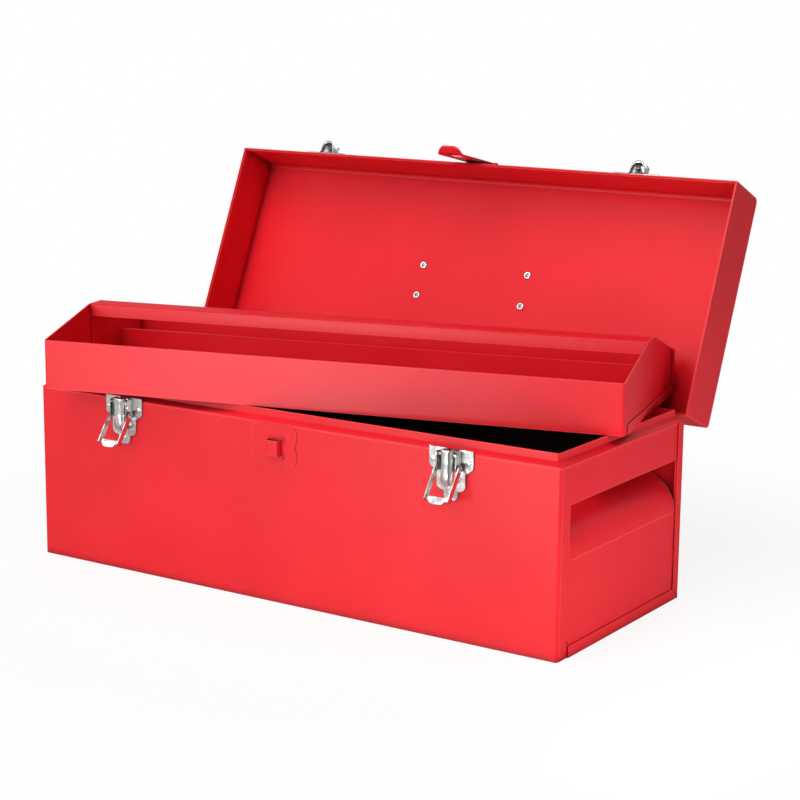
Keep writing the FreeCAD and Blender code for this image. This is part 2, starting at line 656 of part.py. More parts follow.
# Strikes and hasp on the lid
def strike(centre):
    """Plate with a hollow pressed nose whose lip the bail catches."""
    top = STRIKE_BOTTOM + STRIKE_HEIGHT
    plane = face_space(0, centre)
    corners = [(-STRIKE_HALF, STRIKE_BOTTOM), (STRIKE_HALF, STRIKE_BOTTOM),
               (STRIKE_HALF, top), (-STRIKE_HALF, top)]
    plate = outline_face([plane(x, z) for x, z in corners], [SHEET, SHEET, STRIKE_ROUND, STRIKE_ROUND])
    plate = plate.extrude(OUTWARD * STRIKE_SHEET)
    seat, lip = STRIKE_BOTTOM + NOSE_SEAT, STRIKE_BOTTOM + NOSE_TOP
    outer = [(STRIKE_SHEET / 2, STRIKE_BOTTOM), (NOSE_REACH, STRIKE_BOTTOM), (NOSE_REACH, lip),
             (NOSE_REACH - NOSE_LIP, lip), (NOSE_REACH - NOSE_LIP - NOSE_BEND / 2, seat),
             (STRIKE_SHEET / 2, seat)]
    rounds = [0, NOSE_BEND, NOSE_BEND, SHEET, SHEET, 0]
    place = front_space(centre - NOSE_HALF)
    nose = outline_face([place(o, z) for o, z in outer], rounds).extrude(V(2 * NOSE_HALF, 0, 0))
    width = NOSE_HALF - NOSE_WALL
    hollow = box((centre - width, centre + width),
                 (-HALF_DEPTH - NOSE_REACH + NOSE_WALL, -HALF_DEPTH - STRIKE_SHEET),
                 (STRIKE_BOTTOM - OVERRUN, seat - NOSE_WALL))
    return fused([plate, nose.cut(hollow)])


def hasp_leaf():
    """Slotted hasp: it slopes in towards the front face and ends in a rounded lip turned outward."""
    pin = (HASP_PIN_OFFSET, HASP_PIN_Z)
    top = (HASP_PIN_OFFSET + HASP_KNUCKLE_RADIUS, HASP_PIN_Z)
    knee = (HASP_NEAR, SHOULDER_HEIGHT - HASP_KNEE)
    tip = (HASP_TIP_REACH, SHOULDER_HEIGHT - HASP_TIP_DROP)
    place = front_space(HASP_X - HASP_HALF)
    leaf = bent_sheet([tip, knee, top], [0, HASP_KNEE_BEND, 0], HASP_SHEET, place, V(2 * HASP_HALF, 0, 0))
    plane = face_space(-OVERRUN, HASP_X)
    corners = [(-HASP_HALF, tip[1]), (HASP_HALF, tip[1]), (HASP_HALF, pin[1]), (-HASP_HALF, pin[1])]
    front = outline_face([plane(x, z) for x, z in corners], [HASP_CORNER, HASP_CORNER, 0, 0])
    front = front.extrude(OUTWARD * (OVERRUN * 4))
    roll = across(HASP_KNUCKLE_RADIUS, (HASP_X - HASP_HALF, HASP_X + HASP_HALF), -HALF_DEPTH - pin[0], pin[1])
    bore = across(HASP_PIN_RADIUS + PIN_CLEARANCE, (HASP_X - HASP_HALF, HASP_X + HASP_HALF),
                  -HALF_DEPTH - pin[0], pin[1])
    half, tall = STAPLE_WIDTH / 2 + HASP_SLOT_CLEARANCE, STAPLE_HEIGHT / 2 + HASP_SLOT_CLEARANCE
    slot = box((STAPLE_X - half, STAPLE_X + half), (-HALF_DEPTH - OVERRUN * 2, -HALF_DEPTH + OVERRUN),
               (STAPLE_Z - tall, STAPLE_Z + tall))
    return fused([leaf.common(front), roll]).cut(bore).cut(slot)


def hasp_bracket():
    """Foot on the lid front with two ears that hold the hasp pin."""
    low, high = HASP_PIN_Z - HASP_EAR_HALF, HASP_PIN_Z + HASP_FOOT
    inner = HASP_HALF + HASP_EAR_GAP
    outer = inner + HASP_EAR_SHEET
    foot = box((HASP_X - outer, HASP_X + outer), (-HALF_DEPTH - HASP_EAR_SHEET, -HALF_DEPTH),
               (HASP_PIN_Z - HASP_EAR_HALF, high))
    pieces = [foot]
    reach = HASP_PIN_OFFSET + HASP_EAR_HALF
    corners = [(0, low), (reach, low), (reach, HASP_PIN_Z + HASP_EAR_HALF), (0, high)]
    for start in (inner, -outer):
        place = front_space(HASP_X + start)
        ear = outline_face([place(o, z) for o, z in corners],
                           [0, HASP_EAR_HALF - SEAT_GAP, HASP_EAR_HALF / 2, 0])
        pieces.append(ear.extrude(V(HASP_EAR_SHEET, 0, 0)))
    bore = across(HASP_PIN_RADIUS, (HASP_X - outer, HASP_X + outer), -HALF_DEPTH - HASP_PIN_OFFSET, HASP_PIN_Z)
    return fused(pieces).cut(bore)


def hasp_pin():
    """Pin through the ears and the hasp."""
    reach = HASP_HALF + HASP_EAR_GAP + HASP_EAR_SHEET + LATCH_PIN_END / 2
    return across(HASP_PIN_RADIUS, (HASP_X - reach, HASP_X + reach), -HALF_DEPTH - HASP_PIN_OFFSET, HASP_PIN_Z)


# Lift-out tray
def gable(inset, start, end):
    """Side shape of the tray drawn out along its length."""
    points = [(inset, 0), (inset, TRAY_FRONT), (BAR_START, TRAY_PEAK), (BAR_START + BAR_WIDTH, TRAY_PEAK),
              (TRAY_DEPTH, TRAY_BACK), (TRAY_DEPTH, 0)]
    outline = Part.makePolygon([V(start, d, h) for d, h in points + points[:1]])
    return Part.Face(outline).extrude(V(end - start, 0, 0))


def tray_front_and_ends():
    """Front wall folded round into the two gabled ends."""
    path = [(0, TRAY_DEPTH - SHEET), (0, 0), (TRAY_LENGTH, 0), (TRAY_LENGTH, TRAY_DEPTH - SHEET)]
    walls = bent_sheet(path, [0, TRAY_BEND, TRAY_BEND, 0], SHEET,
                       lambda s, d: V(s, d, 0), V(0, 0, TRAY_PEAK))
    walls = walls.common(gable(0, -OVERRUN, TRAY_LENGTH + OVERRUN))
    under = box((-OVERRUN, TRAY_LENGTH + OVERRUN), (TRAY_FLANGE_START, TRAY_DEPTH), (-OVERRUN, SHEET))
    return walls.cut(under)


def tray_floor_and_back():
    """Floor folded up into the back wall, with seams turned over the ends."""
    inner = (SHEET, TRAY_LENGTH - SHEET)
    outer = (-SHEET, TRAY_LENGTH + SHEET)
    corners = [V(inner[0], TRAY_DEPTH, 0), V(inner[0], SHEET, 0),
               V(inner[1], SHEET, 0), V(inner[1], TRAY_DEPTH, 0)]
    bend = TRAY_BEND - SHEET
    floor = outline_face(corners, [0, bend, bend, 0]).extrude(V(0, 0, SHEET))
    wings = box(outer, (TRAY_FLANGE_START, TRAY_DEPTH), (0, SHEET))
    back = box(outer, (TRAY_DEPTH - SHEET, TRAY_DEPTH), (0, TRAY_BACK))
    seams = []
    for side in ((outer[0], 0), (TRAY_LENGTH, outer[1])):
        seams.append(box(side, (TRAY_FLANGE_START, TRAY_DEPTH), (0, TRAY_FLOOR_FLANGE)))
        seams.append(box(side, (TRAY_DEPTH - TRAY_BACK_FLANGE, TRAY_DEPTH), (0, TRAY_PEAK)).common(
            gable(0, outer[0], outer[1])))
    return fused([floor, wings, back] + seams)


def tray_bar():
    """Full-length channel that serves as the tray's handle."""
    low = TRAY_PEAK - BAR_LEG
    far = BAR_START + BAR_WIDTH
    path = [(far, low), (far, TRAY_PEAK), (BAR_START, TRAY_PEAK), (BAR_START, low)]
    return bent_sheet(path, [0, BAR_BEND, BAR_BEND, 0], SHEET, lambda d, h: V(SHEET, d, h),
                      V(TRAY_LENGTH - 2 * SHEET, 0, 0))


def tray_bar_ends():
    """Upright plates that carry the channel on the floor at both gables."""
    near, far, top = BAR_START + SHEET, BAR_START + BAR_WIDTH - SHEET, TRAY_PEAK - SHEET
    bend = BAR_BEND - SHEET
    plates = []
    for start in (SHEET, TRAY_LENGTH - 2 * SHEET):
        corners = [V(start, near, SHEET), V(start, near, top), V(start, far, top), V(start, far, SHEET)]
        plates.append(outline_face(corners, [0, bend, bend, 0]).extrude(V(SHEET, 0, 0)))
    return Part.makeCompound(plates)


def tray_divider():
    """Lengthwise divider with a foot on the floor and a hemmed top."""
    start, end = SHEET + DIVIDER_END_GAP, TRAY_LENGTH - SHEET - DIVIDER_END_GAP
    web = box((start, end), (DIVIDER_PLACE, DIVIDER_PLACE + SHEET), (SHEET, DIVIDER_HEIGHT))
    foot = box((start, end), (DIVIDER_PLACE, DIVIDER_PLACE + DIVIDER_FOOT), (SHEET, 2 * SHEET))
    hem = box((start, end), (DIVIDER_PLACE, DIVIDER_PLACE + 2 * SHEET),
              (DIVIDER_HEIGHT - DIVIDER_HEM, DIVIDER_HEIGHT))
    return fused([web, foot, hem])


def pieces():
    """Every piece under its name, where it lies with the lid open."""
    names = ("front_wall", "right_end_wall", "left_end_wall", "front_and_end_rim")
    yield from zip(names, front_sheet())
    yield "floor_and_back", floor_and_back()
    yield "right_end_seam", end_seam()
    yield "left_end_seam", mirrored(end_seam())
    yield "right_end_scoop", end_scoop()
    yield "left_end_scoop", mirrored(end_scoop())
    yield "padlock_staple", padlock_staple()
    yield "body_hinge_leaf", hinge_leaf(0, False)
    yield "hinge_pin", hinge_pin()
    yield "lid_hinge_leaf", opened(hinge_leaf(1, True))
    yield "lid_wrap", opened(lid_wrap())
    yield "handle_wire", opened(handle_wire())
    yield "handle_grip", opened(handle_grip())
    yield "hasp_leaf", opened(hasp_leaf())
    yield "hasp_bracket", opened(hasp_bracket())
    yield "hasp_pin", opened(hasp_pin())
    for name, side in (("left", -1), ("right", 1)):
        yield name + "_lid_end", opened(lid_end(side))
        yield name + "_handle_bracket", opened(handle_bracket(side))
        yield name + "_strike", opened(strike(side * LATCH_X))
        yield name + "_latch_base", latch_base(side * LATCH_X)
        yield name + "_latch_pins", latch_pins(side * LATCH_X)
        yield name + "_latch_lever", latch_lever(side * LATCH_X)
        yield name + "_latch_bail", latch_bail(side * LATCH_X)
    yield "tray_front_and_ends", on_rim(tray_front_and_ends())
    yield "tray_floor_and_back", on_rim(tray_floor_and_back())
    yield "tray_bar", on_rim(tray_bar())
    yield "tray_bar_ends", on_rim(tray_bar_ends())
    yield "tray_divider", on_rim(tray_divider())


os.makedirs("parts", exist_ok=True)
for node, shape in pieces():
    shape.exportStep("parts/" + node + ".step")
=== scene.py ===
import json
import math

import bmesh
import bpy
import numpy as np
from mathutils import Matrix, Vector


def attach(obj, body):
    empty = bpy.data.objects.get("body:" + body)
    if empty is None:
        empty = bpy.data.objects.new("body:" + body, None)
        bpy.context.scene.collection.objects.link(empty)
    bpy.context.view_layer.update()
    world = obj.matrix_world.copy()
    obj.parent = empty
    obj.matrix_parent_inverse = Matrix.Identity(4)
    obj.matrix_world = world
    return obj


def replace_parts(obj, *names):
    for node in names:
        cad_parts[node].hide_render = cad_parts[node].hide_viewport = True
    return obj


# Metres, in the frame of the box: +X along its length, +Y towards the hinge, +Z up. The lid stands open.
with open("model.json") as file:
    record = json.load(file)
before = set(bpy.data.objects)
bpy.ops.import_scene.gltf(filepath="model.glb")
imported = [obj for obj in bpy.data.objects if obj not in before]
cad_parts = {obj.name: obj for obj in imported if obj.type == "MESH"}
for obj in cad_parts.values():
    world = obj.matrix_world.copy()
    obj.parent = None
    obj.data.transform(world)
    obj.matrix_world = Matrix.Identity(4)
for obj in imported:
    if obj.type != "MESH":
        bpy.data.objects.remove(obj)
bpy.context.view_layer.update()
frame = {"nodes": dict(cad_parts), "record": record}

# Camera
CAMERA_PLACE = (0.93433, -1.34436, 0.49209)
CAMERA_YAW = math.radians(-33.4)
CAMERA_PITCH = math.radians(11.8)
CAMERA_ROLL = math.radians(0.58)
SENSOR = 36.0
LENS = 90.84

# Box and lid, as the frame has them
HALF_LENGTH = 0.254
FRONT = -0.0995
SHEET = 0.001
LID_TOP = 0.195
HINGE = (0.103, 0.1475)
OPEN = math.radians(-113.5)

# Where the inside of the box, with its near-black painted shade, begins
INNER_X = 0.2534
INNER_FRONT = -0.0980
INNER_BACK = (0.0975, 0.0990)
FLOOR_TOP = 0.004
POCKET_FOOT = 0.073
LEDGE_X = 0.2195
RIM_FOOT = 0.1474

# Latches
LATCH_X = 0.1605
LATCH_PLACES = (-LATCH_X, LATCH_X)
PLATE = 0.0012
LEVER_HALF = 0.0059
LEVER_FOOT = 0.1216
LEVER_TOP = 0.1500
STRIKE_FOOT = 0.1509
STRIKE_TOP = 0.1709

# Handle, as it lies flat on the shut lid
BRACKET_X = 0.0545
BRACKET_SHEET = 0.0015
WIRE_Z = 0.1983
WIRE_END = 0.0617
WIRE_RADIUS = 0.003
WIRE_BENDS = (0.0030, 0.009, 0.009, 0.0030)
LEG_X = 0.0468
LEG_LENGTH = 0.042
HANG = math.radians(23.5)
GRIP_HALF = 0.0378
GRIP_RADIUS = 0.0065
GRIP_EDGE = 0.0016
GRIP_RIB = 0.0004
GRIP_TURNS = 9.5

# Rivets: radius and rise of a head, then its places on each plate
RIVET = (0.0026, 0.0010)
HANDLE_RIVET = (0.0036, 0.0014)
LATCH_RIVETS = ((-0.0156, 0.1401), (0.0156, 0.1401), (0.0, 0.1148))
STRIKE_RIVETS = ((-0.0155, 0.1629), (0.0155, 0.1629))
HASP_RIVETS = ((-0.0135, 0.1810), (0.0045, 0.1810))
HANDLE_RIVETS = [(x, y) for x in (-BRACKET_X, BRACKET_X) for y in (-0.0143, 0.0143)]

# Gaps in an end: distance from the middle, (y, z) of both ends, and width
END_FACE = HALF_LENGTH + 0.00005
END_GAPS = ((END_FACE, (0.0902, 0.0075), (0.0902, 0.0275), 0.0008),
            (END_FACE, (0.0902, 0.0425), (0.0902, 0.0605), 0.0008),
            (HALF_LENGTH + SHEET, (0.0908, 0.0088), (0.0990, 0.0006), 0.0006),
            (END_FACE, (-0.0852, 0.0096), (-0.0852, 0.0132), 0.0012))
GAP_RISE = 0.0002

# Roots of the staple: the relief notches' place along X, and height and way of turning of each
STAPLE_X = 0.0030
STAPLE_ROOTS = ((0.1358, 1), (0.1209, -1))
NOTCH_FROM, NOTCH_TO = math.radians(115), math.radians(-80)

# Cut edge of a scoop: corners (x, z) of its line, which is bent at the middle one
SCOOP_EDGE = ((0.25350, 0.0740), (0.25350, 0.0992), (0.2212, 0.1050))
SCOOP_EDGE_Y = 0.08935
SCOOP_BEND = 0.029
CUT_EDGE_RADIUS = 0.00055

# Floor of the studio
FLOOR_RADIUS = 4.0
FLOOR_CORNERS = 64


# Shader maths as plain expressions
class Value:
    """An output socket with the arithmetic that the materials need."""

    def __init__(self, graph, socket):
        self.graph, self.socket = graph, socket

    def maths(self, operation, first, second=0.0):
        """One Math node on two values."""
        return self.graph.node("ShaderNodeMath", {"operation": operation}, {0: first, 1: second})

    def __add__(self, other):
        return self.maths("ADD", self, other)

    def __sub__(self, other):
        return self.maths("SUBTRACT", self, other)

    def __rsub__(self, other):
        return self.maths("SUBTRACT", other, self)

    def __mul__(self, other):
        return self.maths("MULTIPLY", self, other)

    def __gt__(self, other):
        return self.maths("GREATER_THAN", self, other)

    def __lt__(self, other):
        return self.maths("LESS_THAN", self, other)

    def __or__(self, other):
        return self.maths("MAXIMUM", self, other)

    __radd__ = __add__
    __rmul__ = __mul__

    def size(self):
        """The value without its sign."""
        return self.maths("ABSOLUTE", self)

    def sign(self):
        """-1 or 1."""
        return self.maths("SIGN", self)

    def smooth(self, low, high):
        """0 below low and 1 above high, with a smooth step between."""
        return self.graph.node("ShaderNodeMapRange", {"interpolation_type": "SMOOTHSTEP"},
                               {"Value": self, "From Min": low, "From Max": high})


class Graph:
    """Nodes of one material or world."""

    def __init__(self, tree):
        self.tree = tree
        self.tree.nodes.clear()

    def node(self, kind, settings=None, inputs=None, out=0):
        """A node of one kind with its settings, then its inputs from values or links."""
        made = self.tree.nodes.new(kind)
        for key, value in (settings or {}).items():
            setattr(made, key, value)
        for key, value in (inputs or {}).items():
            if isinstance(value, Value):
                self.tree.links.new(value.socket, made.inputs[key])
            else:
                made.inputs[key].default_value = value
        return Value(self, made.outputs[out]) if len(made.outputs) else None

    def coordinates(self, out="Object"):
        """The three numbers of a place or of a facing direction."""
        place = self.node("ShaderNodeTexCoord", out=out)
        parts = self.node("ShaderNodeSeparateXYZ", None, {0: place}).socket.node
        return [Value(self, part) for part in parts.outputs]

    def noise(self, scale, detail=2.0, rough=0.5, stretch=(1, 1, 1), shift=0.0):
        """Fractal noise around 0.5, squeezed by a stretch along each axis."""
        place = self.node("ShaderNodeTexCoord", out="Object")
        moved = self.node("ShaderNodeMapping", None,
                          {"Vector": place, "Scale": stretch, "Location": (shift, shift, shift)})
        return self.node("ShaderNodeTexNoise", None,
                         {"Vector": moved, "Scale": scale, "Detail": detail, "Roughness": rough})

    def mix(self, factor, first, second):
        """A blend of two colours."""
        colours = [c if isinstance(c, Value) else (*c, 1.0) for c in (first, second)]
        return self.node("ShaderNodeMix", {"data_type": "RGBA"},
                         {0: factor, 6: colours[0], 7: colours[1]}, out=2)

    def facing_front(self):
        """1 on faces that look to the front."""
        return self.coordinates("Normal")[1] < -0.35

    def creases(self, distance):
        """0 in the open and towards 1 where faces close in on each other within a distance in metres."""
        open_sky = self.node("ShaderNodeAmbientOcclusion", {"samples": 8}, {"Distance": distance}, out="AO")
        return 1.0 - open_sky

    def edges(self, radius):
        """0 on a flat face and towards 1 within a radius in metres of a sharp edge."""
        soft = self.node("ShaderNodeBevel", {"samples": 8}, {"Radius": radius})
        true = self.node("ShaderNodeNewGeometry", out="True Normal")
        return 1.0 - self.node("ShaderNodeVectorMath", {"operation": "DOT_PRODUCT"},
                               {0: soft, 1: true}, out="Value")

    def bump(self, height, distance, normal=None):
        """A normal disturbed by a height map of a given depth in metres."""
        inputs = {"Height": height, "Distance": distance}
        if normal is not None:
            inputs["Normal"] = normal
        return self.node("ShaderNodeBump", None, inputs)


def material(name):
    """A new material and its empty graph."""
    made = bpy.data.materials.new(name)
    made.use_nodes = True
    return made, Graph(made.node_tree)


def surfaced(made, graph, inputs):
    """Ends a material in one Principled surface."""
    surface = graph.node("ShaderNodeBsdfPrincipled", None, inputs)
    graph.node("ShaderNodeOutputMaterial", None, {"Surface": surface})
    return made


# Finishes
RED = (0.80, 0.012, 0.022)
RED_DEEP = (0.73, 0.009, 0.018)
RED_PAINTED_SHADE = (0.24, 0.003, 0.006)
RED_PAINTED_HIGHLIGHT = (0.92, 0.085, 0.085)
INSIDE_PAINTED_SHADE = (0.010, 0.008, 0.009)
INSIDE_SHADE_SPECKLE = (0.026, 0.022, 0.022)


def powder_coat(name, inside=None):
    """Satin red powder coat: fine orange peel, slow waves of the sheet, faint clouds, painted shade in its
    creases and recesses, and a painted highlight on its sharp edges.

    inside gives a mask of 0 to 1 for the surfaces that get a near-black painted shade in place of the red.
    """
    made, graph = material(name)
    cloud = graph.noise(11.0, 3.0)
    specks = graph.noise(900.0, 2.0, 0.6)
    colour = graph.mix(cloud.smooth(0.3, 0.75), RED_DEEP, RED)
    # Painted shade: darker red in creases and recesses, found by ambient occlusion.
    crease_shade = graph.creases(0.010)
    colour = graph.mix(crease_shade.smooth(0.12, 0.7), colour, RED_PAINTED_SHADE)
    recess_shade = graph.creases(0.040).smooth(0.36, 0.90)
    colour = graph.mix(0.75 * recess_shade, colour, RED_PAINTED_SHADE)
    # Painted highlight: lighter red along sharp outer edges.
    edge = graph.edges(0.0016).smooth(0.015, 0.2) * (1.0 - crease_shade.smooth(0.05, 0.25))
    colour = graph.mix(0.75 * edge, colour, RED_PAINTED_HIGHLIGHT)
    rough = 0.36 + 0.10 * cloud + 0.05 * specks
    # Painted shade: near-black, lightly speckled, on the faces that the mask picks out.
    if inside is not None:
        mask = inside(graph)
        colour = graph.mix(mask, colour, graph.mix(specks.smooth(0.4, 0.8), INSIDE_PAINTED_SHADE, INSIDE_SHADE_SPECKLE))
        rough = rough + 0.3 * mask
    normal = graph.bump(graph.noise(9.0, 1.0, 0.3, shift=0.4), 0.0016)
    normal = graph.bump(graph.noise(620.0, 2.0, 0.45), 0.000035, normal)
    return surfaced(made, graph, {"Base Color": colour, "Roughness": rough, "Normal": normal,
                                  "Specular IOR Level": 0.32, "Specular Tint": (1.0, 0.62, 0.62, 1.0)})


def body_inside(graph):
    """1 on the faces of front, ends, back and floor that look into the closed part of the box."""
    x, y, z = graph.coordinates()
    nx, ny, nz = graph.coordinates("Normal")
    far = x.size()
    ends = (nx * x.sign() < -0.35) * (far < INNER_X) * (z < POCKET_FOOT)
    walls = ((ny > 0.5) * (y < INNER_FRONT)) | ((ny < -0.5) * (y > INNER_BACK[0]) * (y < INNER_BACK[1]))
    bottom = (nz > 0.5) * (z < FLOOR_TOP) * (far < INNER_X)
    return (ends | (walls * (far < LEDGE_X)) | bottom) * (z < RIM_FOOT)


def scoop_underside(graph):
    """1 on the side of an end scoop that looks into the box."""
    x = graph.coordinates()[0]
    nx, ny, nz = graph.coordinates("Normal")
    return (nx * x.sign() < -0.35) | (nz < -0.2)


def plated(name, tint, shine, grain=(1, 1, 1), rolled=False):
    """Bright plating on pressed steel: fine die marks, soft hollows, faint clouding, and painted shade at its
    edges and in its creases.

    A rolled piece also has a painted reflection, a dark line along each of its bends.
    """
    made, graph = material(name)
    marks = graph.noise(1500.0, 2.0, 0.6, stretch=grain)
    cloud = graph.noise(160.0, 3.0, 0.55)
    colour = graph.mix(cloud.smooth(0.35, 0.8), tint, tuple(0.74 * c for c in tint))
    # Painted shade: darker near sharp edges and in creases.
    painted_shade_and_reflection = graph.edges(0.0010).smooth(0.01, 0.16) | (0.5 * graph.creases(0.004).smooth(0.25, 0.8))
    normal = graph.bump(graph.noise(120.0, 1.0, 0.3, shift=0.7), 0.0006)
    # Painted reflection: dark lines along the lever's bends, on faces that look to the front.
    if rolled:
        x = graph.coordinates()[0]
        across = (x - LATCH_X * x.sign()) * (1 / LEVER_HALF)
        right_bend_reflection = 1.0 - (across - 0.50).size().smooth(0.06, 0.18)
        left_bend_reflection = 1.0 - (across + 0.9).size().smooth(0.06, 0.2)
        painted_shade_and_reflection = painted_shade_and_reflection | (0.8 * (right_bend_reflection | left_bend_reflection) * graph.facing_front())
    colour = graph.mix(0.85 * painted_shade_and_reflection, colour, tuple(0.12 * c for c in tint))
    normal = graph.bump(marks, 0.000012, normal)
    return surfaced(made, graph, {"Base Color": colour, "Roughness": shine + 0.12 * cloud + 0.05 * marks,
                                  "Normal": normal, "Metallic": 1.0})


def shaded_gap(name):
    """Dark strip painted as the shade where one folded edge meets the next, with a faint random speckle."""
    made, graph = material(name)
    speckle = graph.noise(500.0)
    colour = graph.mix(speckle, (0.055, 0.002, 0.004), (0.012, 0.001, 0.002))
    return surfaced(made, graph, {"Base Color": colour, "Roughness": 0.6 + 0.2 * speckle,
                                  "Normal": graph.bump(speckle, 0.00004)})


# Surfaces
def revolved(profile, place, axis, turns=32):
    """Closed surface of revolution: (radius, height) pairs turned about an axis at a place.

    point(i, j) = place + r_j (cos a_i s + sin a_i t) + h_j n; the first and last radius are 0.
    """
    profile = np.asarray(profile, float)
    normal = np.asarray(axis, float) / np.linalg.norm(axis)
    side = np.cross(normal, (0.0, 1.0, 0.0) if abs(normal[1]) < 0.9 else (1.0, 0.0, 0.0))
    side /= np.linalg.norm(side)
    angle = np.linspace(0, 2 * np.pi, turns, endpoint=False)[:, None]
    ring = np.cos(angle) * side + np.sin(angle) * np.cross(normal, side)
    points = np.asarray(place) + profile[None, :, :1] * ring[:, None, :] + profile[None, :, 1:] * normal
    return points.reshape(-1, 3), grid_faces(turns, len(profile))


def swept(path, normal, section, sizes=None):
    """Closed surface: a closed section drawn along a flat path, its ends drawn in to a point.

    point(i, j) = p_i + k_i (u_j b_i + v_j n), where b_i = n x t_i lies in the plane of the path.
    """
    path, section, normal = np.asarray(path, float), np.asarray(section, float), np.asarray(normal, float)
    tangent = np.gradient(path, axis=0)
    tangent /= np.linalg.norm(tangent, axis=1)[:, None]
    side = np.cross(normal, tangent)
    sizes = np.ones(len(path)) if sizes is None else sizes
    path = np.concatenate((path[:1], path, path[-1:]))
    side = np.concatenate((side[:1], side, side[-1:]))
    sizes = np.concatenate(([0.0], sizes, [0.0]))[:, None, None]
    offsets = section[None, :, :1] * side[:, None, :] + section[None, :, 1:] * normal
    points = path[:, None, :] + sizes * offsets
    across = len(section)
    order = np.arange(across * len(path)).reshape(len(path), across).T.reshape(-1)
    return points.reshape(-1, 3), order[grid_faces(across, len(path))]


def grid_faces(rows, columns):
    """Quads of a grid of rows by columns, joined round its rows."""
    row = np.arange(rows)[:, None]
    column = np.arange(columns - 1)[None, :]
    after = (row + 1) % rows
    quads = np.stack((row * columns + column, after * columns + column,
                      after * columns + column + 1, row * columns + column + 1), -1)
    return quads.reshape(-1, 4)


def circle(radius, steps=16, flat=1.0):
    """Closed round or flattened section."""
    angle = np.linspace(0, 2 * np.pi, steps, endpoint=False)
    return np.stack((radius * np.cos(angle), flat * radius * np.sin(angle)), -1)


def rounded_path(corners, radii, steps=8):
    """Points along straight runs whose inner corners are rounded by arcs."""
    corners = np.asarray(corners, float)
    path = [corners[:1]]
    for before, corner, after, radius in zip(corners, corners[1:], corners[2:], radii):
        back = (before - corner) / np.linalg.norm(before - corner)
        ahead = (after - corner) / np.linalg.norm(after - corner)
        half = math.acos(float(np.clip(back @ ahead, -1, 1))) / 2
        middle = (back + ahead) / np.linalg.norm(back + ahead)
        centre = corner + middle * radius / math.sin(half)
        start = corner + back * radius / math.tan(half) - centre
        end = corner + ahead * radius / math.tan(half) - centre
        sweep = math.pi - 2 * half
        share = np.linspace(0, 1, steps)[:, None]
        arc = np.sin((1 - share) * sweep) * start + np.sin(share * sweep) * end
        path.append(centre + arc / math.sin(sweep))
    return np.concatenate(path + [corners[-1:]])


def joined(surfaces):
    """One set of points and faces from several."""
    starts = np.cumsum([0] + [len(points) for points, _ in surfaces[:-1]])
    points = np.concatenate([points for points, _ in surfaces])
    return points, np.concatenate([faces + start for (_, faces), start in zip(surfaces, starts)])


def moved(surface, shift):
    """A surface at another place."""
    points, faces = surface
    return points + np.asarray(shift), faces


def about_x(surface, pivot, angle):
    """A surface turned about a line along X through (y, z)."""
    points, faces = surface
    y, z = points[:, 1] - pivot[0], points[:, 2] - pivot[1]
    cos, sin = math.cos(angle), math.sin(angle)
    return np.stack((points[:, 0], pivot[0] + y * cos - z * sin, pivot[1] + y * sin + z * cos), -1), faces


def opened(surface):
    """A surface of the shut lid turned open."""
    return about_x(surface, HINGE, OPEN)


def shown(name, surface, body, paint):
    """A shown piece from points and faces: poles welded, faces outward, riding on a body."""
    points, faces = surface
    mesh = bpy.data.meshes.new(name)
    mesh.from_pydata(points.tolist(), [], faces.tolist())
    shape = bmesh.new()
    shape.from_mesh(mesh)
    bmesh.ops.remove_doubles(shape, verts=shape.verts, dist=1e-7)
    bmesh.ops.dissolve_degenerate(shape, edges=shape.edges, dist=1e-8)
    bmesh.ops.recalc_face_normals(shape, faces=shape.faces)
    shape.to_mesh(mesh)
    shape.free()
    mesh.polygons.foreach_set("use_smooth", np.ones(len(mesh.polygons), bool))
    mesh.materials.append(paint)
    piece = bpy.data.objects.new(name, mesh)
    bpy.context.scene.collection.objects.link(piece)
    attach(piece, body)
    return piece


# Rivets
def dome(radius, rise):
    """Profile of a round head: an elliptic cap over a low straight rim."""
    turn = np.linspace(0, np.pi / 2, 7)
    cap = np.stack((radius * np.cos(turn), rise * (0.3 + 0.7 * np.sin(turn))), -1)
    cap[-1, 0] = 0.0
    return np.concatenate(([(0.0, -0.0001), (radius, -0.0001)], cap))


def rolled_head():
    """Profile of a hollow rivet's rolled flange round its dimple."""
    return [(0.0, -0.0001), (0.0036, -0.0001), (0.0037, 0.0003), (0.0034, 0.0007), (0.0028, 0.0010),
            (0.0022, 0.0010), (0.0017, 0.0008), (0.0014, 0.0004), (0.0012, 0.0001), (0.0, 0.0001)]


def rivets(paint):
    """Heads on the latch plates, the strikes, the hasp's foot and both sides of the handle brackets."""
    head = dome(*RIVET)

    def heads(places, centres=(0.0,)):
        """Small heads at (x, z) places on the front face about each centre."""
        return joined([revolved(head, (centre + x, FRONT - PLATE, z), (0, -1, 0))
                       for centre in centres for x, z in places])

    under = [revolved(rolled_head(), (x, y, LID_TOP - SHEET), (0, 0, -1)) for x, y in HANDLE_RIVETS]
    over = [revolved(dome(*HANDLE_RIVET), (x, y, LID_TOP + BRACKET_SHEET), (0, 0, 1)) for x, y in HANDLE_RIVETS]
    shown("latch_rivet_heads", heads(LATCH_RIVETS, LATCH_PLACES), "box", paint)
    for name, surface in (("strike_rivet_heads", heads(STRIKE_RIVETS, LATCH_PLACES)),
                          ("hasp_rivet_heads", heads(HASP_RIVETS)),
                          ("handle_rivet_heads", joined(under + over))):
        shown(name, opened(surface), "lid", paint)


# Handle
def handle_bend():
    """Wire from one strap to the other, bent out into two legs and the run that carries the grip."""
    corners = [(-WIRE_END, 0, WIRE_Z), (-LEG_X, 0, WIRE_Z), (-LEG_X, LEG_LENGTH, WIRE_Z),
               (LEG_X, LEG_LENGTH, WIRE_Z), (LEG_X, 0, WIRE_Z), (WIRE_END, 0, WIRE_Z)]
    return swept(rounded_path(corners, WIRE_BENDS), (0, 0, 1), circle(WIRE_RADIUS, 24))


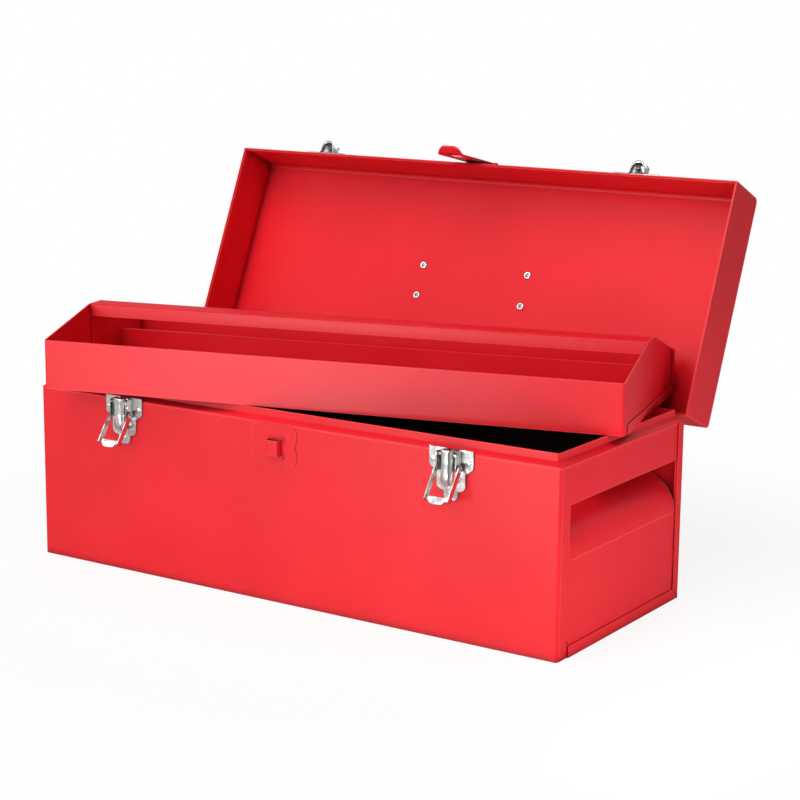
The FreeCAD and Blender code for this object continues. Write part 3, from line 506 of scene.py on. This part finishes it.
def ribbed_tube():
    """Grip turned about the wire: rounded ends and a waist whose radius is r - d cos2(n pi x / l)."""
    turn = np.linspace(0, np.pi / 2, 6)
    end = np.stack((GRIP_RADIUS - GRIP_EDGE + GRIP_EDGE * np.cos(turn),
                    GRIP_HALF - GRIP_EDGE + GRIP_EDGE * np.sin(turn)), -1)
    waist = np.linspace(GRIP_HALF - 0.003, -GRIP_HALF + 0.003, 25)
    ribs = GRIP_RIB * np.cos(waist / GRIP_HALF * GRIP_TURNS * np.pi) ** 2
    tube = np.stack((GRIP_RADIUS - ribs, waist), -1)
    profile = np.concatenate(([(0, GRIP_HALF)], end[::-1], tube, end * (1, -1), [(0, -GRIP_HALF)]))
    return revolved(profile, (0, LEG_LENGTH, WIRE_Z), (1, 0, 0), 40)


def handle(wire_paint, grip_paint):
    """Smoothly bent wire with its tube, in place of the faceted ones."""
    for name, surface, slot, paint, node in (
            ("bent_handle_wire", handle_bend(), "nickel_plate", wire_paint, "handle_wire"),
            ("ribbed_handle_grip", ribbed_tube(), "red_powder_coat", grip_paint, "handle_grip")):
        hung = about_x(surface, (0, WIRE_Z), HANG)
        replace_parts(shown(name, opened(hung), "handle", paint), node)


# Latches
def lever_channel():
    """Half-round channel with a round nose, its closed section carried from the nose up to the flat top.

    At height z the outer line is x = a(z) c, o = b(z) + (f(z) - b(z)) s, where (c, s) runs over half of a
    superellipse, o is the distance from the front and a, b, f are half width, back edge and face.
    """
    lip, wall, crest = 0.0012, 0.001, 0.0100
    turn = np.linspace(0, np.pi / 2, 9)
    height = np.concatenate((LEVER_FOOT + LEVER_HALF * (1 - np.cos(turn[1:])), np.linspace(0.1300, 0.1480, 8),
                             LEVER_TOP - lip + lip * np.sin(turn)))
    nose = np.sqrt(1 - (1 - np.clip((height - LEVER_FOOT) / LEVER_HALF, 0, 1)) ** 2)
    edge = np.sqrt(1 - (1 - np.clip((LEVER_TOP - height) / lip, 0, 1)) ** 2)
    half = LEVER_HALF * nose * (0.84 + 0.16 * edge)
    face = crest - 0.0036 * (1 - nose) - 0.0011 * (1 - edge)
    back = np.interp(height, (LEVER_FOOT, 0.1240, 0.1331, 0.1460, LEVER_TOP),
                     (0.0060, 0.0060, 0.0022, 0.0022, 0.0049))
    angle = np.linspace(0, np.pi, 25)[:, None]
    across, out = np.sign(np.cos(angle)) * np.abs(np.cos(angle)) ** 0.76, np.sin(angle) ** 0.76
    inner = (0.82 * half * across[::-1], back + (face - wall - back) * out[::-1])
    x, o = np.concatenate((half * across, inner[0])), np.concatenate((back + (face - back) * out, inner[1]))
    middle = np.array([[0.0, (face[0] + back[0]) / 2, LEVER_FOOT], [0.0, (face[-1] + back[-1]) / 2, LEVER_TOP]])
    rings = np.stack((x, o, np.broadcast_to(height, x.shape)), -1)
    ends = [np.broadcast_to(pole, (len(x), 1, 3)) for pole in middle]
    points = np.concatenate((ends[0], rings, ends[1]), 1).reshape(-1, 3)
    return np.stack((points[:, 0], FRONT - points[:, 1], points[:, 2]), -1), grid_faces(len(x), len(height) + 2)


def strike_nose():
    """Hollow pressed nose with a lip: rings of one outline, drawn in over the top outside and again inside.

    The outline is x = 7.3 mm c, o = 12.8 mm s over a half turn, closed along the plate; the top rises by a
    smooth step to the lip.
    """
    seat, lip = 0.1607, 0.0025
    angle = np.linspace(0, 2 * np.pi, 48, endpoint=False)[:, None]
    cos, sin = np.cos(angle), np.clip(np.sin(angle), 0, 1)
    x, o = 0.0073 * np.sign(cos) * np.abs(cos) ** 0.8, 0.0006 + 0.0122 * sin ** 0.85
    shares = np.array([0, 0.35, 0.55, 0.66, 0.75, 0.9, 0.96, 1, 1,
                       1, 0.86, 0.86, 0.8, 0.7, 0.6, 0.3, 0])
    drops = np.array([0, 0, 0, 0, 0, 0.0002, 0.0006, 0.0016, 0,
                      0, 0, 0.0024, 0.0014, 0.0013, 0.0012, 0.0012, 0.0012])
    place = o * shares
    step = np.clip((place - 0.0070) / 0.0018, 0, 1)
    height = seat + lip * step * step * (3 - 2 * step) - drops
    height[:, 8:11] = (STRIKE_FOOT + 0.0006, STRIKE_FOOT, STRIKE_FOOT)
    points = np.stack((x * shares, FRONT - place, height), -1)
    return points.reshape(-1, 3), grid_faces(len(angle), len(shares))


def strike_plate():
    """Plate with rounded upper corners and a soft edge: its outline drawn in to a point behind and in front."""
    low, high, half, thick = STRIKE_FOOT, STRIKE_TOP, 0.0215, 0.0015
    corners = [(0, low), (half, low), (half, high), (-half, high), (-half, low), (0, low)]
    outline = rounded_path(corners, [0.001, 0.005, 0.005, 0.001], 7)[:-1, None, :]
    shares, depths = np.array([0, 1, 1, 0.98, 0]), np.array([0, 0, thick - 0.0004, thick, thick])
    middle = np.array((0, (low + high) / 2))
    flat = middle + shares[None, :, None] * (outline - middle)
    points = np.stack((flat[..., 0], np.broadcast_to(FRONT - depths, flat.shape[:2]), flat[..., 1]), -1)
    return points.reshape(-1, 3), grid_faces(len(outline), len(shares))


def latches(lever_paint, strike_paint):
    """Rolled levers and pressed strikes in place of the faceted ones."""
    for name, centre in zip(("left", "right"), LATCH_PLACES):
        place = (centre, 0, 0)
        lever = shown(name + "_rolled_lever", moved(lever_channel(), place), name + "_lever",
                      lever_paint)
        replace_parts(lever, name + "_latch_lever")
        pressed = opened(moved(joined([strike_plate(), strike_nose()]), place))
        strike = shown(name + "_pressed_strike", pressed, "lid", strike_paint)
        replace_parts(strike, name + "_strike")


# Seams and edges
def strip(start, end, normal, width, rise):
    """Low lens-shaped strip between two places on a face."""
    share = np.linspace(0, 1, 9)[:, None]
    path = np.asarray(start) * (1 - share) + np.asarray(end) * share
    sizes = np.sin(np.pi * np.linspace(0.06, 0.94, 9)) ** 0.25
    return swept(path, normal, circle(width / 2, 10, 2 * rise / width), sizes)


def seams(gap):
    """Dark strips painted as the shade in the gaps of the folded ends: slots beside the back flange, the mitre
    at its foot and the front notch.
    """
    surfaces = [strip((side * x, *start), (side * x, *end), (side, 0, 0), width, GAP_RISE)
                for side in (-1, 1) for x, start, end, width in END_GAPS]
    shown("end_seam_gap_shade", joined(surfaces), "box", gap)


def staple_reliefs(lip_paint, notch_shade_paint):
    """Lips drawn up round the relief notches at the roots of the staple, with a dark strip painted as the shade
    inside each notch.
    """
    steps = 14
    sizes = np.sin(np.linspace(0.25, np.pi - 0.25, steps))
    for name, radius, wire, paint in (("staple_relief_lips", 0.0023, 0.0006, lip_paint),
                                      ("staple_relief_notch_shade", 0.0014, 0.0005, notch_shade_paint)):
        surfaces = []
        for height, turn in STAPLE_ROOTS:
            angle = np.linspace(NOTCH_FROM, NOTCH_TO, steps) * turn
            path = np.stack((STAPLE_X + radius * np.cos(angle), np.full(steps, FRONT - 0.0006),
                             height + radius * np.sin(angle)), -1)
            surfaces.append(swept(path, (0, -1, 0), circle(wire, 10), sizes))
        shown(name, joined(surfaces), "box", paint)


def scoop_edges(paint):
    """Bare cut edge of each end scoop at its back, a thin line along the bend."""
    path = rounded_path([(x, SCOOP_EDGE_Y, z) for x, z in SCOOP_EDGE], [SCOOP_BEND], 16)
    points, faces = swept(path, (0, 1, 0), circle(CUT_EDGE_RADIUS, 10))
    both = joined([(points, faces), (points * (-1, 1, 1), faces)])
    shown("scoop_cut_edges", both, "box", paint)


# Stage, light and camera
def look_from_photo():
    """Camera with the photograph's place, direction, roll and focal length."""
    yaw, pitch = CAMERA_YAW, CAMERA_PITCH
    ahead = np.array((math.sin(yaw) * math.cos(pitch), math.cos(yaw) * math.cos(pitch), -math.sin(pitch)))
    right = np.cross(ahead, (0.0, 0.0, 1.0))
    right /= np.linalg.norm(right)
    up = np.cross(right, ahead)
    cos, sin = math.cos(CAMERA_ROLL), math.sin(CAMERA_ROLL)
    axes = np.array((cos * right + sin * up, -sin * right + cos * up, -ahead)).T
    camera = bpy.data.objects.new("photo_camera", bpy.data.cameras.new("photo_camera"))
    camera.data.sensor_width = SENSOR
    camera.data.lens = LENS
    camera.matrix_world = Matrix.LocRotScale(CAMERA_PLACE, Matrix(axes.tolist()).to_quaternion(), None)
    bpy.context.scene.collection.objects.link(camera)
    bpy.context.scene.camera = camera


def soft_light(name, place, target, size, power, mirrored=False, diffuse=True):
    """Large area light at a place, aimed at a target, seen in reflections, in diffuse light or both."""
    lamp = bpy.data.lights.new(name, "AREA")
    lamp.shape = "RECTANGLE"
    lamp.size, lamp.size_y = size
    lamp.energy = power
    holder = bpy.data.objects.new(name, lamp)
    aim = Vector(np.subtract(target, place).tolist()).to_track_quat("-Z", "Y")
    holder.matrix_world = Matrix.LocRotScale(place, aim, None)
    holder.visible_glossy = mirrored
    holder.visible_diffuse = diffuse
    holder.visible_camera = False
    bpy.context.scene.collection.objects.link(holder)


def surroundings():
    """White to the camera, dimmer in reflections and dimmer still as diffuse light."""
    world = bpy.data.worlds.new("studio")
    bpy.context.scene.world = world
    world.use_nodes = True
    graph = Graph(world.node_tree)
    rays = graph.node("ShaderNodeLightPath").socket.node.outputs
    camera, glossy = Value(graph, rays["Is Camera Ray"]), Value(graph, rays["Is Glossy Ray"])
    soft = graph.node("ShaderNodeBackground", None, {"Color": (0.96, 0.98, 1.0, 1.0), "Strength": 0.22})
    mirror = graph.node("ShaderNodeBackground", None, {"Color": (0.96, 0.98, 1.0, 1.0), "Strength": 0.30})
    white = graph.node("ShaderNodeBackground", None, {"Color": (1.0, 1.0, 1.0, 1.0)})
    unseen = graph.node("ShaderNodeMixShader", None, {0: glossy, 1: soft, 2: mirror})
    both = graph.node("ShaderNodeMixShader", None, {0: camera, 1: unseen, 2: white})
    graph.node("ShaderNodeOutputWorld", None, {"Surface": both})


def floor():
    """Round white floor that keeps a faint shadow near the box, melts into the background and is dimmer in
    reflections.
    """
    made, graph = material("studio_floor")
    x, y = graph.coordinates()[:2]
    reach = (x * x + y * y).smooth(0.10, 0.45)
    rays = graph.node("ShaderNodeLightPath").socket.node.outputs
    seen, mirrored = Value(graph, rays["Is Camera Ray"]), Value(graph, rays["Is Glossy Ray"])
    colour = graph.mix(graph.noise(40.0), (0.9, 0.9, 0.9), (0.94, 0.94, 0.94))
    matt = graph.node("ShaderNodeBsdfDiffuse", None, {"Color": graph.mix(mirrored, colour, (0.45, 0.45, 0.45))})
    bright = graph.node("ShaderNodeEmission", None, {"Color": (1.0, 1.0, 1.0, 1.0)})
    blend = graph.node("ShaderNodeMixShader", None, {0: seen * (0.86 + 0.14 * reach), 1: matt, 2: bright})
    graph.node("ShaderNodeOutputMaterial", None, {"Surface": blend})
    rim = circle(FLOOR_RADIUS, FLOOR_CORNERS)
    mesh = bpy.data.meshes.new("studio_floor")
    mesh.from_pydata(np.pad(rim, ((0, 0), (0, 1))).tolist(), [], [list(range(FLOOR_CORNERS))])
    mesh.materials.append(made)
    ground = bpy.data.objects.new("studio_floor", mesh)
    bpy.context.scene.collection.objects.link(ground)


def lights():
    """Broad key light from the front, light from above, a low bounce at the right end and a fill from behind.

    The sheens are seen in reflections alone: on the whole front, on the latches, on the tray and on the lid.
    """
    soft_light("key_light", (-0.1, -2.5, 1.1), (0, 0, 0.15), (1.7, 1.9), 33)
    soft_light("key_sheen", (-1.4, -2.1, 0.9), (0, 0, 0.12), (3.0, 1.9), 30, True, False)
    soft_light("front_sheen", (-0.30, -1.6, 0.30), (0, -0.1, 0.2), (1.0, 0.5), 4, True, False)
    soft_light("tray_sheen", (-0.11, -1.09, 0.09), (0.03, -0.12, 0.195), (0.26, 0.12), 7.0, True, False)
    soft_light("lid_sheen", (-0.4, -1.5, 1.7), (0.22, 0.17, 0.29), (0.8, 0.6), 9, True, False)
    soft_light("right_bounce", (0.50, -0.08, 0.055), (0.25, -0.02, 0.045), (0.4, 0.1), 0.40)
    soft_light("top_light", (0.0, -0.9, 2.4), (0, 0, 0.1), (2.0, 1.6), 38)
    soft_light("back_fill", (-0.4, 2.6, 1.3), (0, 0.1, 0.15), (2.4, 1.6), 20, True)


def dress():
    """Gives every CAD piece its finish and adds the dressing pieces."""
    red = powder_coat("red_powder_coat")
    nickel = plated("bright_nickel", (0.93, 0.92, 0.90), 0.12)
    zinc = plated("zinc_steel", (0.62, 0.62, 0.62), 0.26, grain=(0.1, 1, 1))
    finishes = {"red_powder_coat": red, "nickel_plate": nickel, "zinc_steel": zinc}
    lever = plated("rolled_nickel", (0.93, 0.92, 0.90), 0.10, rolled=True)
    # Red coats whose faces looking into the box, or under the scoops, carry a near-black painted shade.
    body = powder_coat("red_outside_painted_shade_inside", body_inside)
    scoop = powder_coat("red_scoop_painted_shade_under", scoop_underside)
    walls = ("front_wall", "left_end_wall", "right_end_wall", "front_and_end_rim", "floor_and_back")
    scoops = dict.fromkeys(("left_end_scoop", "right_end_scoop"), scoop)
    special = dict.fromkeys(walls, body) | scoops
    slots = {part["node"]: part["material_slot"] for part in frame["record"]["subparts"]}
    for node, piece in frame["nodes"].items():
        piece.data.materials.clear()
        piece.data.materials.append(special.get(node, finishes[slots[node]]))
    latches(lever, nickel)
    rivets(nickel)
    handle(nickel, red)
    # Dark strips painted as the shade in the seam gaps and in the staple's relief notches.
    gap = shaded_gap("painted_shade_seam_gap")
    seams(gap)
    staple_reliefs(red, gap)
    scoop_edges(zinc)


look_from_photo()
surroundings()
floor()
lights()
dress()
bpy.context.scene.view_settings.view_transform = "Standard"
